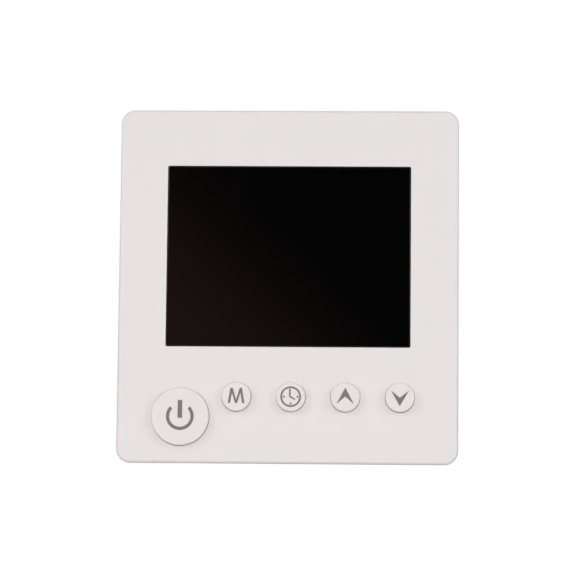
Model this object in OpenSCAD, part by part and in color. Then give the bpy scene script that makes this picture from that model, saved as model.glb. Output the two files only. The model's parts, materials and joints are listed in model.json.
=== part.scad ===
// Wall thermostat: a square faceplate with a display window and five round keys, a back box that sinks into
// a wall box, and a stamped steel plate that stays on the wall.
// Every sub-part is drawn lying face up: x runs to the right, y up the wall, z from the wall into the room.
// on_wall() then stands it up, so that the finished part faces -Y and the wall is the plane Y = 0.

/* [Body] */
// Width of the faceplate
body_w = 86; // [85:0.5:88]
// Height of the faceplate
body_h = 90; // [89:0.5:92]
// Distance from the wall to the front face
front_z = 16; // [16:0.1:16.6]
// Radius of the faceplate's corners
corner_r = 3.5; // [3.2:0.1:4]
// Radius of the rounded edge round the front face
edge_round = 0.7; // [0.5:0.1:1]
// How far each flank slopes in between the front band and the wall
side_taper = 2.5; // [2:0.1:2.6]
// Thickness of the moulded walls
wall_t = 2; // [1.8:0.1:2]

/* [Display] */
// Width of the window opening
window_w = 61.8; // [60:0.1:62]
// Height of the window opening
window_h = 46.2; // [45:0.1:46.4]
// Height of the window's centre above the faceplate's centre
window_up = 7.5; // [7:0.1:8]

/* [Keys] */
// Diameter of the power key
power_d = 14.6; // [14:0.1:14.8]
// Place of the power key, right and up from the faceplate's centre
power_at = [-26.9, -33.4];
// Diameter of the four small keys
key_d = 7.4; // [7:0.1:7.6]
// Place of the first small key
first_key_at = [-12.8, -28.3];
// Distance between the small keys
key_pitch = 13.7; // [13.4:0.1:13.9]
// How far the keys stand out of the front face
key_proud = 1.6; // [1:0.1:1.8]
// Gap round each key in its hole
key_gap = 0.1; // [0.08:0.02:0.2]

/* [Wall fixing] */
// Distance between the two wall screws
fixing_pitch = 60; // [60:0.1:60.4]
// Width of the slots for the wall screws
slot_w = 4.4; // [4:0.1:4.6]
// Length of the slots, end to end
slot_l = 7.4; // [6:0.1:7.6]
// Thickness of the steel plate
plate_t = 1.2; // [1:0.1:1.2]
// How far the housing lifts to come off its hooks
unhook_rise = 3; // [2.5:0.1:3]

/* [Back box] */
// Width of the box that sinks into the wall
box_w = 47; // [46:0.1:47.2]
// Height of that box
box_h = 50; // [49:0.1:50]
// Depth of that box behind the wall's face
box_depth = 26; // [25.8:0.1:27]
// Thickness of its walls
box_wall = 1.6; // [1.4:0.1:1.8]

/* [Hidden] */
$fn = 64;

// Depths of the faceplate
rim_z = 0.6;                      // gap between the faceplate's rim and the wall
band_z = front_z - 1.8;           // the flank is straight from here to the front edge
inside_z = front_z - wall_t;      // inner face of the front wall
cavity_band_z = inside_z - 1.5;   // the cavity's flank is straight from here to the front wall
inner_corner_r = 3;

// Depths of the boards
board_back = 5.8;
board_t = 1.6;
board_front = board_back + board_t;
ring_back = 2.2;                  // rear face of the rear cover's flange
ring_t = 1.6;
ring_front = ring_back + ring_t;
power_front = -12.4;              // side of the power board that faces the room
power_t = 1.6;
power_back = power_front - power_t;

// Display stack
lens_gap = 0.15;
lens_recess = 0.2;
lens_flange = 1.5;                // how far the flange reaches past the opening
tape_t = 0.2;
lens_back = inside_z - 1.2;
frame_w = 62;
frame_h = 46;
frame_wall = 1.3;
frame_top = lens_back - 0.4;
glass_w = 59;
glass_t = 1.1;
polariser_t = 0.2;
rear_glass_h = 43.2;
front_glass_h = 41;
rear_polariser_z = 9.8;
rear_glass_z = rear_polariser_z + polariser_t;
front_glass_z = rear_glass_z + glass_t;
front_polariser_z = front_glass_z + glass_t;
reflector_t = 0.2;
guide_h = 38;
pin_rows = [-20.6, 20.6];         // heights of the two rows of pins from the window's centre
pin_pitch = 2.54;
pins_per_row = 20;
peg_places = [[-30.35, 25], [30.35, 25], [-30.35, -12], [30.35, -12]];

// Keys and their switches
key_places = concat([power_at], [for (i = [0:3]) [first_key_at.x + i * key_pitch, first_key_at.y]]);
key_sizes = [power_d, key_d, key_d, key_d, key_d];
key_flange = 0.8;                 // how far a key's flange reaches past its face
flange_front = inside_z - 0.05;
flange_t = 1;
key_skin = 1.2;
stem_end = board_front + 4.5;
switch_side = 6;
switch_base_h = 3.1;
switch_plate_t = 0.3;
plunger_top = board_front + 4.3;
plunger_r = 1.7;
plunger_collar_r = 2.2;
leg_at = [3.15, 2.25];

// Screws and bosses
case_screw_places = [[-35, 37.5], [35, 37.5], [-35, -20], [35, -20]];
case_boss_r = 2.6;
case_screw_r = 1;
thread_bite = 0.02;               // a screw's hole in plastic is that much wider than the screw
thread_play = 0.05;               // and its hole in metal that much
case_head_r = 2.1;
case_head_z = 4.2;
board_post_places = [[7.9, -36.5], [21.5, -36.5], [36, -30]];
power_screw_places = [[-19.6, -9.5], [19.6, 20.3]];
lock_z = 3.2;                     // depth of the lock screw's axis
lock_r = 1;
lock_head_r = 1.75;
lock_seat_y = -40.6;
lock_tip_y = -32;
lock_boss_top = -39;

// Wall plate
plate_w = 73;
plate_h = 68;
plate_hole_x = box_w / 2 + 0.7;
plate_hole_low = -box_h / 2 - 0.4;
plate_hole_high = box_h / 2 + unhook_rise + 0.4;
hook_places = [[-30, 16.8], [30, 16.8], [-30, -12], [30, -12]];
hook_w = 6;
hook_rise = 2.4;
lip_back = ring_front + 0.1;
tab_w = 9;
tab_front = 5;

// Terminals
terminal_low = -23;
terminal_d = 10.2;
mains_pitch = 7.62;
sensor_pitch = 5.08;
mains_x = -21.2;
sensor_x = 10.9;
mains_poles = 4;
sensor_poles = 2;
clamp_y = -17.1;                  // height of the line that the terminal screws stand on
clamp_inset = 1.1;                // from the edge of a pole to the side of its clamp
clamp_wall = 0.35;
block_play = 0.3;                 // gap round the terminals in the rear cover's opening
terminal_screw_share = 0.19;      // radius of a terminal's screw as a share of the pitch

// Parts on the control board
header_y = -20.6;
header_pitch = 2.54;
header_poles = 6;
chip_at = [-9, 1];
chip_side = 10;
cell_at = [12.5, -1];
cell_r = 6.25;
crystal_at = [1, 15];
sensor_at = [12, -37.2];
sensor_lead_x = 0.9;

// ---------------------------------------------------------------------------------------------- shared shapes

// Stands a part that was drawn face up against the wall
module on_wall() {
    rotate([90, 0, 0]) children();
}

// Rectangle with round corners, centred
module round_rect(w, h, r) {
    square([w - 2 * r, h], center = true);
    square([w, h - 2 * r], center = true);
    for (x = [-1, 1], y = [-1, 1]) translate([x * (w / 2 - r), y * (h / 2 - r)]) circle(r);
}

// Flat slab with round corners between two depths
module slab(w, h, r, low, high) {
    translate([0, 0, low]) linear_extrude(high - low) round_rect(w, h, r);
}

// Flat frame: a slab with a smaller slab cut out of it
module band(w, h, r, inner_w, inner_h, inner_r, low, high) {
    translate([0, 0, low]) linear_extrude(high - low) difference() {
        round_rect(w, h, r);
        round_rect(inner_w, inner_h, inner_r);
    }
}

// Slab whose edge follows the outline given as child: x is 0 over the corner centres and grows outwards
module edged_slab(w, h, r, low, high) {
    half_w = w / 2 - r;
    half_h = h / 2 - r;
    translate([-half_w, -half_h, low]) cube([2 * half_w, 2 * half_h, high - low]);
    for (turn = [0:3]) {
        out = turn % 2 == 0 ? half_w : half_h;
        along = turn % 2 == 0 ? half_h : half_w;
        rotate([0, 0, 90 * turn]) translate([out, along, 0]) {
            rotate([90, 0, 0]) linear_extrude(2 * along) children();
            rotate_extrude(angle = 90) children();
        }
    }
}

// Upright cylinder between two depths
module rod(r, low, high) {
    translate([0, 0, low]) cylinder(r = r, h = high - low);
}

// Upright tube between two depths
module tube(r, inner_r, low, high) {
    translate([0, 0, low]) linear_extrude(high - low) difference() {
        circle(r);
        circle(inner_r);
    }
}

// Box given by its two opposite corners
module block(low, high) {
    translate(low) cube(high - low);
}

// Screw standing at the origin with its head towards the wall: head_z is the head's seat
module small_screw(r, head_r, head_t, head_z, tip_z) {
    cross_w = head_r * 0.3;
    dome_r = head_r * 1.4;
    difference() {
        union() {
            rod(r, head_z, tip_z);
            rotate_extrude() intersection() {
                translate([0, head_z - head_t]) square([head_r, head_t]);
                translate([0, head_z - head_t + dome_r]) circle(dome_r);
            }
        }
        for (turn = [0, 90]) rotate([0, 0, turn])
            block([-head_r * 0.6, -cross_w / 2, head_z - head_t - 1],
                  [head_r * 0.6, cross_w / 2, head_z - head_t * 0.45]);
    }
}

// ------------------------------------------------------------------------------------------------- wall plate

// Tongue bent out of the plate, with a lip that stands behind the rear cover's flange
module plate_hook() {
    block([-hook_w / 2, 0, 0], [hook_w / 2, plate_t, lip_back + plate_t]);
    block([-hook_w / 2, 0, lip_back], [hook_w / 2, plate_t + hook_rise, lip_back + plate_t]);
}

// Slot for one wall screw
module fixing_slot(low, high) {
    half = slot_l / 2 - slot_w / 2;
    block([-half, -slot_w / 2, low], [half, slot_w / 2, high]);
    for (x = [-half, half]) translate([x, 0, 0]) rod(slot_w / 2, low, high);
}

module wall_plate() {
    cut_h = plate_hole_high - plate_hole_low;
    color("silver") on_wall() {
        difference() {
            slab(plate_w, plate_h, 3, 0, plate_t);
            translate([0, plate_hole_low + cut_h / 2, 0]) slab(2 * plate_hole_x, cut_h, 2, -1, plate_t + 1);
            for (x = [-fixing_pitch / 2, fixing_pitch / 2]) translate([x, 0, 0]) fixing_slot(-1, plate_t + 1);
            for (at = hook_places) translate(at)
                block([-hook_w / 2 - 0.2, -5.2, -1], [hook_w / 2 + 0.2, 0, plate_t + 1]);
        }
        for (at = hook_places) translate(at) plate_hook();
        difference() {
            block([-tab_w / 2, -plate_h / 2, 0], [tab_w / 2, -plate_h / 2 + plate_t, tab_front]);
            translate([0, -plate_h / 2 - 1, lock_z]) rotate([-90, 0, 0])
                cylinder(r = lock_r + thread_play, h = 4);
        }
    }
}

// ------------------------------------------------------------------------------------------------ front cover

// Outline of the faceplate's edge: sloping flank, straight band and rounded front edge
module cover_edge() {
    polygon([
        [0, rim_z], [corner_r - side_taper, rim_z], [corner_r, band_z], [corner_r, front_z - edge_round],
        [corner_r - edge_round, front_z], [0, front_z]
    ]);
    translate([corner_r - edge_round, front_z - edge_round]) circle(edge_round);
}

// Outline of the cavity's edge, with the same slope, running out through the back
module cavity_edge() {
    slope = side_taper / (cavity_band_z - rim_z);
    out_z = -1;
    polygon([
        [0, out_z], [inner_corner_r - slope * (cavity_band_z - out_z), out_z],
        [inner_corner_r, cavity_band_z], [inner_corner_r, inside_z], [0, inside_z]
    ]);
}

// Collar behind the front wall that guides a key's flange, with a gap for its locating lug
module key_guide(d) {
    guide_r = d / 2 + key_flange + 0.2;
    difference() {
        tube(guide_r + 0.9, guide_r, inside_z - 3, inside_z);
        block([-0.8, -guide_r - 2, inside_z - 4], [0.8, -guide_r + 0.5, inside_z + 1]);
    }
}

// Boss for a case screw, from the front wall to the control board
module case_boss() {
    tube(case_boss_r, case_screw_r + thread_bite, board_front, inside_z);
}

// Row of ventilation slots through the top or bottom flank
module vent_row(places, side) {
    for (x = places) translate([x, side * body_h / 2, 0]) block([-0.7, -5, 3.5], [0.7, 5, 10]);
}

module front_cover() {
    color("white") on_wall() {
        difference() {
            union() {
                difference() {
                    edged_slab(body_w, body_h, corner_r, rim_z, front_z) cover_edge();
                    edged_slab(body_w - 2 * wall_t, body_h - 2 * wall_t, inner_corner_r, -1, inside_z)
                        cavity_edge();
                }
                for (i = [0:4]) translate(key_places[i]) key_guide(key_sizes[i]);
                for (at = case_screw_places) translate(at) case_boss();
                for (at = board_post_places) translate(at) rod(1.8, board_front, inside_z);
                translate([0, window_up, 0])
                    band(window_w + 2 * lens_flange + 2.2, window_h + 2 * lens_flange + 2.2, 1,
                         window_w + 2 * lens_flange + 0.4, window_h + 2 * lens_flange + 0.4, 0.5,
                         inside_z - 1.4, inside_z);
                translate([0, lock_boss_top, lock_z]) rotate([90, 0, 0]) cylinder(r = 2.4, h = 3);
                for (x = [-20, 20]) block([x - 3, -41.5, 1.3], [x + 3, -39.8, 2.1]);
            }
            translate([0, window_up, 0]) slab(window_w, window_h, 0.4, inside_z - 1, front_z + 1);
            for (i = [0:4]) translate(key_places[i])
                rod(key_sizes[i] / 2 + key_gap, inside_z - 1, front_z + 1);
            vent_row([for (i = [-4:4]) 3.2 * i], 1);
            vent_row([for (side = [-1, 1], i = [0:4]) side * (8 + 3.2 * i)], -1);
            translate([0, 0, lock_z]) rotate([90, 0, 0]) {
                cylinder(r = lock_r + 0.15, h = body_h);
                translate([0, 0, -lock_seat_y]) cylinder(r = lock_head_r + 0.2, h = 10);
            }
        }
    }
}

// ---------------------------------------------------------------------------------------------------- display

module display_window() {
    color([0.01, 0.01, 0.012]) on_wall() translate([0, window_up, 0]) {
        slab(window_w - 2 * lens_gap, window_h - 2 * lens_gap, 0.3, lens_back, front_z - lens_recess);
        slab(window_w + 2 * lens_flange, window_h + 2 * lens_flange, 0.5, lens_back, inside_z - tape_t);
    }
}

module window_tape() {
    color([0.1, 0.1, 0.1]) on_wall() translate([0, window_up, 0])
        band(window_w + 2 * lens_flange, window_h + 2 * lens_flange, 0.5,
             window_w + 0.6, window_h + 0.6, 0.5, inside_z - tape_t, inside_z);
}

module dust_seal() {
    color([0.08, 0.08, 0.08]) on_wall() translate([0, window_up, 0])
        band(frame_w - 0.4, frame_h - 0.4, 0.8, 57, 40, 0.8, frame_top, lens_back);
}

module lcd_glass() {
    color([0.7, 0.8, 0.8, 0.5]) on_wall() translate([0, window_up, 0]) {
        slab(glass_w, rear_glass_h, 0.1, rear_glass_z, front_glass_z);
        slab(glass_w, front_glass_h, 0.1, front_glass_z, front_polariser_z);
    }
}

module lcd_polarisers() {
    color([0.2, 0.22, 0.22]) on_wall() translate([0, window_up, 0])
        for (z = [rear_polariser_z, front_polariser_z]) slab(57.4, 39.4, 0.3, z, z + polariser_t);
}

module light_guide() {
    color([0.85, 0.93, 1]) on_wall() translate([0, window_up, 0])
        block([-27.4, -guide_h / 2, board_front + reflector_t], [29.4, guide_h / 2, rear_polariser_z]);
}

module light_reflector() {
    color("white") on_wall() translate([0, window_up, 0])
        block([-27.4, -guide_h / 2, board_front], [29.4, guide_h / 2, board_front + reflector_t]);
}

module backlight_leds() {
    color([0.95, 0.9, 0.6]) on_wall() translate([0, window_up, 0])
        for (y = [-12, 0, 12]) block([-29.4, y - 1.5, board_front], [-27.6, y + 1.5, board_front + 1.8]);
}

module lcd_frame() {
    color([0.9, 0.9, 0.88]) on_wall() {
        translate([0, window_up, 0])
            band(frame_w, frame_h, 1, frame_w - 2 * frame_wall, frame_h - 2 * frame_wall, 0.3,
                 board_front, frame_top);
        for (at = peg_places) translate(at) rod(0.55, board_back - 0.4, board_front);
    }
}

// Places of the display's pins
function lcd_pin_places() = [
    for (row = pin_rows, i = [0:pins_per_row - 1])
        [(i - (pins_per_row - 1) / 2) * pin_pitch, window_up + row]
];

module lcd_pins() {
    color("silver") on_wall() for (at = lcd_pin_places()) translate(at)
        rod(0.25, board_back - 0.8, rear_glass_z);
}

// ---------------------------------------------------------------------------------------------- control board

// Places of a switch's four legs
function leg_places() = [for (x = [-1, 1], y = [-1, 1]) [x * leg_at.x, y * leg_at.y]];

// Places of the pins between the two boards
function header_places() = [
    for (i = [0:header_poles - 1]) [(i - (header_poles - 1) / 2) * header_pitch, header_y]
];

module control_board() {
    color([0.05, 0.35, 0.15]) on_wall() difference() {
        slab(76, 80, 1.5, board_back, board_front);
        for (at = case_screw_places) translate(at) rod(case_screw_r + 0.3, 0, 20);
        for (at = lcd_pin_places()) translate(at) rod(0.35, 0, 20);
        for (at = key_places, leg = leg_places()) translate(at + leg) rod(0.5, 0, 20);
        for (at = peg_places) translate(at) rod(0.7, 0, 20);
        for (at = header_places()) translate(at) rod(0.5, 0, 20);
        for (x = [-1, 1]) translate(sensor_at + [x * sensor_lead_x, 0]) rod(0.35, 0, 20);
    }
}

module controller_chip() {
    color([0.08, 0.08, 0.08]) on_wall() translate(chip_at) {
        difference() {
            slab(chip_side, chip_side, 0.3, board_back - 1.4, board_back - 0.1);
            translate([-3.6, 3.6, 0]) rod(0.5, 0, board_back - 1.3);
        }
    }
}

module chip_leads() {
    color("silver") on_wall() translate(chip_at) for (turn = [0:90:270], i = [-5:5]) rotate([0, 0, turn])
        block([chip_side / 2, 0.8 * i - 0.15, board_back - 0.25],
              [chip_side / 2 + 1.1, 0.8 * i + 0.15, board_back]);
}

module clock_crystal() {
    color("silver") on_wall() translate(crystal_at) {
        slab(10.4, 4.4, 2.1, board_back - 0.5, board_back);
        slab(9.6, 3.6, 1.7, board_back - 2.4, board_back - 0.5);
    }
}

module backup_cell() {
    color("gainsboro") on_wall() translate(cell_at) {
        rod(cell_r, board_back - 2, board_back - 0.5);
        rod(cell_r - 0.9, board_back - 2.3, board_back - 2);
    }
}

module cell_clip() {
    color("silver") on_wall() translate(cell_at) {
        block([-cell_r - 2, -1.5, board_back - 0.3], [cell_r + 0.5, 1.5, board_back]);
        block([-cell_r - 0.5, -1.5, board_back - 2.6], [-cell_r - 0.2, 1.5, board_back]);
        block([-cell_r - 0.5, -1.5, board_back - 2.6], [1, 1.5, board_back - 2.3]);
    }
}

// Small resistors and capacitors in rows on both sides of the board
module board_smd_parts() {
    color([0.55, 0.45, 0.35]) on_wall() {
        for (i = [0:5]) translate([-20 + 3.4 * i, -7.5, 0])
            block([-0.6, -1, board_back - 0.6], [0.6, 1, board_back]);
        for (i = [0:3]) translate([-18, 4 + 3.2 * i, 0])
            block([-1, -0.6, board_back - 0.6], [1, 0.6, board_back]);
        for (i = [0:6]) translate([-33.5, -4 + 4 * i, 0])
            block([-0.6, -1, board_front], [0.6, 1, board_front + 0.6]);
        for (i = [0:4]) translate([18 + 3 * i, 36, 0])
            block([-1, -0.6, board_front], [1, 0.6, board_front + 0.6]);
    }
}

module room_sensor() {
    color([0.15, 0.12, 0.1]) on_wall() translate(sensor_at) {
        translate([0, 0, board_front + 2.6]) sphere(1.2);
        for (side = [-1, 1]) translate([side * sensor_lead_x, 0, 0])
            rod(0.22, board_back - 0.8, board_front + 2.2);
    }
}

module switch_bases() {
    half = switch_side / 2;
    color([0.1, 0.1, 0.1]) on_wall() for (at = key_places) translate(at) difference() {
        block([-half, -half, board_front], [half, half, board_front + switch_base_h]);
        rod(2.6, board_front + 1, board_front + switch_base_h + 1);
    }
}

module switch_plates() {
    half = switch_side / 2;
    low = board_front + switch_base_h;
    color("silver") on_wall() for (at = key_places) translate(at) difference() {
        block([-half, -half, low], [half, half, low + switch_plate_t]);
        rod(plunger_r + 0.15, low - 1, low + 1);
    }
}

// Snap dome: a shallow dish of spring steel on the floor of each switch
module switch_domes() {
    color("gold") on_wall() for (at = key_places) translate(at) translate([0, 0, board_front + 1])
        rotate_extrude() polygon([
            [0, 0.27], [1, 0.25], [2.1, 0], [2.4, 0], [2.4, 0.1], [2.12, 0.1], [1, 0.35], [0, 0.37]
        ]);
}

module switch_legs() {
    color("silver") on_wall() for (at = key_places, leg = leg_places()) translate(at + leg)
        block([-0.15, -0.35, board_back - 0.9], [0.15, 0.35, board_front + 1]);
}

module pin_header() {
    half = header_poles * header_pitch / 2;
    color([0.1, 0.1, 0.1]) on_wall() difference() {
        translate([0, header_y, 0])
            block([-half, -header_pitch / 2, board_back - 2.5], [half, header_pitch / 2, board_back]);
        for (at = header_places()) translate(at) rod(0.5, 0, 20);
    }
}

module header_pins() {
    color("gold") on_wall() for (at = header_places()) translate(at)
        block([-0.32, -0.32, power_front + 6], [0.32, 0.32, board_front + 0.8]);
}

module board_socket() {
    half = header_poles * header_pitch / 2;
    color([0.1, 0.1, 0.1]) on_wall() difference() {
        translate([0, header_y, 0])
            block([-half - 0.2, -header_pitch / 2, power_front],
                  [half + 0.2, header_pitch / 2, power_front + 8.5]);
        for (at = header_places()) translate(at)
            block([-0.4, -0.4, power_front + 5], [0.4, 0.4, power_front + 9]);
    }
}

// ------------------------------------------------------------------------------------------------- rear cover

// Raised pocket in the flange that clears a wall screw's head, longer downwards for the unhooking travel
module head_pocket(grow, low, high) {
    block([-5.6 - grow, -4.4 - unhook_rise - grow, low], [5.6 + grow, 4.4 + grow, high]);
}

module rear_cover() {
    inner_w = box_w - 2 * box_wall;
    inner_h = box_h - 2 * box_wall;
    flange_w = body_w - 9;
    flange_h = body_h - 9;
    screw_boss_top = power_back;
    color([0.93, 0.93, 0.91]) on_wall() difference() {
        union() {
            slab(flange_w, flange_h, 1.5, ring_back, ring_front);
            slab(box_w, box_h, 2, -box_depth, ring_back);
            for (side = [-1, 1]) translate([side * fixing_pitch / 2, 0, 0])
                head_pocket(1, ring_back, ring_front + 1.4);
            for (at = case_screw_places) translate(at) rod(case_boss_r, ring_back, board_back);
            for (at = key_places) translate(at) rod(1.5, ring_front, board_back);
        }
        difference() {
            slab(inner_w, inner_h, 1, -box_depth + box_wall, 20);
            for (at = power_screw_places) translate(at) rod(2.4, -box_depth, screw_boss_top);
        }
        for (at = power_screw_places) translate(at)
            rod(case_screw_r + thread_bite, -box_depth + 3, screw_boss_top + 1);
        for (side = [-1, 1]) translate([side * fixing_pitch / 2, 0, 0])
            head_pocket(0, 0, ring_front + 0.4);
        for (at = case_screw_places) translate(at) {
            rod(case_screw_r + 0.3, 0, 20);
            rod(case_head_r + 0.2, 0, case_head_z);
        }
        for (at = hook_places) translate(at)
            block([-hook_w / 2 - 0.4, -unhook_rise - 0.3, 0], [hook_w / 2 + 0.4, plate_t + 0.05, 20]);
        block([-tab_w / 2 - 0.7, -plate_h / 2 - unhook_rise - 0.4, 0],
              [tab_w / 2 + 0.7, lock_tip_y + 0.6, 20]);
        block([-2.7, -body_h / 2, 0], [2.7, -plate_h / 2 - 1, 20]);
        block([mains_x - block_play, terminal_low - block_play, -box_depth - 1],
              [sensor_x + sensor_poles * sensor_pitch + block_play, terminal_low + terminal_d + block_play,
               -box_depth + box_wall + 1]);
        for (span = [[mains_x, mains_poles * mains_pitch], [sensor_x, sensor_poles * sensor_pitch]])
            block([span[0] + 0.6, -box_h / 2 - 1, -24.2], [span[0] + span[1] - 0.6, -inner_h / 2 + 1, -16]);
        for (side = [-1, 1], i = [0:4]) translate([side * box_w / 2, 4 + 3.2 * i, 0])
            block([-3, -0.7, -10], [3, 0.7, -3]);
    }
}

module case_screws() {
    color("silver") on_wall() for (at = case_screw_places) translate(at)
        small_screw(case_screw_r, case_head_r, 1.6, case_head_z, case_head_z + 8.2);
}

// ------------------------------------------------------------------------------------------------ power board

// Centres of the terminals' screws along x
function pole_places() = concat(
    [for (i = [0:mains_poles - 1]) [mains_x + (i + 0.5) * mains_pitch, mains_pitch]],
    [for (i = [0:sensor_poles - 1]) [sensor_x + (i + 0.5) * sensor_pitch, sensor_pitch]]
);

module power_board() {
    color([0.05, 0.3, 0.15]) on_wall() difference() {
        slab(box_w - 2 * box_wall - 0.4, box_h - 2 * box_wall - 0.4, 1, power_back, power_front);
        for (at = power_screw_places) translate(at) rod(case_screw_r + 0.3, -20, 0);
        for (pole = pole_places()) translate([pole[0], clamp_y]) rod(0.65, -20, 0);
    }
}

module power_board_screws() {
    color("silver") on_wall() for (at = power_screw_places) translate(at) translate([0, 0, power_front])
        mirror([0, 0, 1]) small_screw(case_screw_r, case_head_r, 1.4, 0, 7);
}

module relay() {
    color([0.1, 0.1, 0.12]) on_wall() translate([-5.5, 16.4, 0]) {
        slab(29, 12.7, 0.8, power_front + 1, power_front + 15.5);
        slab(28, 11.7, 0.5, power_front, power_front + 1);
    }
}

module transformer_core() {
    color([0.2, 0.2, 0.22]) on_wall() translate([-14.5, 1.6, power_front]) difference() {
        block([-6.5, -2.6, 0.8], [6.5, 2.6, 12]);
        for (side = [-1, 1]) translate([side * 3.6, 0, 0]) block([-1.7, -3, 2.8], [1.7, 3, 10]);
    }
}

module transformer_coil() {
    color([0.9, 0.75, 0.2]) on_wall() translate([-14.5, 1.6, power_front]) difference() {
        union() {
            block([-4.9, -5.4, 3], [4.9, 5.4, 9.8]);
            block([-5.2, -5.6, 0], [5.2, -3.2, 3]);
            block([-5.2, 3.2, 0], [5.2, 5.6, 3]);
        }
        block([-1.9, -3, 2], [1.9, 3, 11]);
        for (side = [-1, 1]) block([side * 6.5 - 1.6, -2.8, 0], [side * 6.5 + 1.6, 2.8, 12]);
        block([-6, -2.8, 9.75], [6, 2.8, 12]);
    }
}

// Upright round capacitor with a pinched foot and a rounded shoulder
module can_capacitor(r, h) {
    rotate_extrude() {
        square([r - 0.5, h]);
        translate([0, 2]) square([r, h - 2.5]);
        square([r, 1.2]);
        translate([r - 0.5, h - 0.5]) circle(0.5);
    }
}

module electrolytic_capacitors() {
    color([0.1, 0.12, 0.3]) on_wall() {
        translate([15.6, 12.8, power_front]) can_capacitor(5, 13);
        translate([16, 2, power_front]) can_capacitor(4, 11.5);
    }
}

module film_capacitor() {
    color([0.85, 0.7, 0.15]) on_wall() translate([1.5, 4, 0])
        slab(13, 6, 0.8, power_front, power_front + 11.5);
}

module fuse() {
    color([0.3, 0.16, 0.1]) on_wall() translate([15.4, -8, power_front]) can_capacitor(4.2, 8);
}

module surge_varistor() {
    color([0.15, 0.3, 0.7]) on_wall() translate([4, -7, power_front]) {
        translate([0, 0, 6.2]) rotate([0, 90, 0]) cylinder(r = 4.6, h = 3.4, center = true);
        for (y = [-2.5, 2.5]) translate([0, y, 0]) cylinder(r = 0.35, h = 3);
    }
}

module rectifier_diodes() {
    color([0.12, 0.12, 0.12]) on_wall() for (i = [0:3]) translate([-14 + 3.6 * i, -10, power_front]) {
        translate([0, 2.2, 1.6]) rotate([90, 0, 0]) cylinder(r = 1.3, h = 4.4);
        for (y = [-1.6, 1.6]) translate([0, y, 0]) cylinder(r = 0.35, h = 1.6);
    }
}

// Row of screw terminals: wires enter from below, screws stand towards the back
module terminal_block(x, poles, pitch) {
    high = terminal_low + terminal_d;
    half = pitch / 2;
    difference() {
        block([x, terminal_low, -box_depth], [x + poles * pitch, high, power_back]);
        for (i = [0:poles - 1]) translate([x + (i + 0.5) * pitch, 0, 0]) {
            block([-half + 0.8, clamp_y - 2.7, -24.4], [half - 0.8, clamp_y + 2.7, -16]);
            block([-half * 0.48, terminal_low - 1, -21.6], [half * 0.48, clamp_y, -17.8]);
            translate([0, clamp_y, 0]) rod(half * 0.58, -box_depth - 1, -24);
            translate([0, clamp_y, 0]) rod(0.6, -17, power_back + 1);
        }
    }
}

module mains_terminal_block() {
    color([0.1, 0.35, 0.2]) on_wall() terminal_block(mains_x, mains_poles, mains_pitch);
}

module sensor_terminal_block() {
    color([0.1, 0.35, 0.2]) on_wall() terminal_block(sensor_x, sensor_poles, sensor_pitch);
}

module terminal_screws() {
    color("silver") on_wall() for (pole = pole_places()) translate([pole[0], clamp_y, 0]) difference() {
        union() {
            rod(pole[1] * terminal_screw_share, -25, -20.6);
            rod(pole[1] * 0.25, -25.6, -24.4);
        }
        block([-3, -0.35, -27], [3, 0.35, -25.1]);
    }
}

// Cage that lifts against the wire as its screw turns, and the pin that joins it to the board
module wire_clamps() {
    color("gold") on_wall() for (pole = pole_places()) translate([pole[0], clamp_y, 0]) {
        half = pole[1] / 2 - clamp_inset;
        difference() {
            block([-half, -2.4, -24], [half, 2.4, -16.4]);
            block([-half + clamp_wall, -3, -22.6], [half - clamp_wall, 3, -17.1]);
            rod(pole[1] * terminal_screw_share + thread_play, -25, -22);
        }
        rod(0.5, -16.5, power_front + 0.8);
    }
}

// ------------------------------------------------------------------------------------------------- lock screw

module lock_screw() {
    color("silver") on_wall() translate([0, 0, lock_z]) rotate([-90, 0, 0])
        small_screw(lock_r, lock_head_r, 1.3, lock_seat_y, lock_tip_y);
}

// ------------------------------------------------------------------------------------------------------- keys

// Round key: thin cap with a rounded front edge, a flange that stops it in the cover, a stem and a lug
module key_cap(d) {
    r = d / 2;
    top = front_z + key_proud;
    edge = 0.35;
    stem_r = d > 10 ? 2.5 : 1.7;
    flange_back = flange_front - flange_t;
    rotate_extrude() difference() {
        union() {
            square_between([0, flange_back], [r, top - edge]);
            square_between([0, flange_back], [r - edge, top]);
            translate([r - edge, top - edge]) circle(edge);
            square_between([0, flange_back], [r + key_flange, flange_front]);
        }
        square_between([0, flange_back - 1], [r - key_skin, top - key_skin]);
    }
    rod(stem_r, stem_end, top - key_skin);
    block([-0.6, -r - key_flange - 0.7, flange_back], [0.6, -r + key_skin / 2, flange_front]);
}

// Rectangle given by its two opposite corners
module square_between(low, high) {
    translate(low) square(high - low);
}

module key_at(i) {
    color([0.95, 0.95, 0.94]) on_wall() translate(key_places[i]) key_cap(key_sizes[i]);
}

// Plunger of a switch: collar held under the steel plate, round button above, short nose over the dome
module plunger_at(i) {
    collar_top = board_front + switch_base_h;
    color([0.2, 0.2, 0.2]) on_wall() translate(key_places[i]) {
        rod(plunger_r, collar_top - 0.6, plunger_top);
        rod(plunger_collar_r, collar_top - 0.6, collar_top - 0.02);
        rod(0.8, collar_top - 1.3, collar_top - 0.6);
    }
}

module power_key() { key_at(0); }
module mode_key() { key_at(1); }
module timer_key() { key_at(2); }
module up_key() { key_at(3); }
module down_key() { key_at(4); }
module power_plunger() { plunger_at(0); }
module mode_plunger() { plunger_at(1); }
module timer_plunger() { plunger_at(2); }
module up_plunger() { plunger_at(3); }
module down_plunger() { plunger_at(4); }

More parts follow.
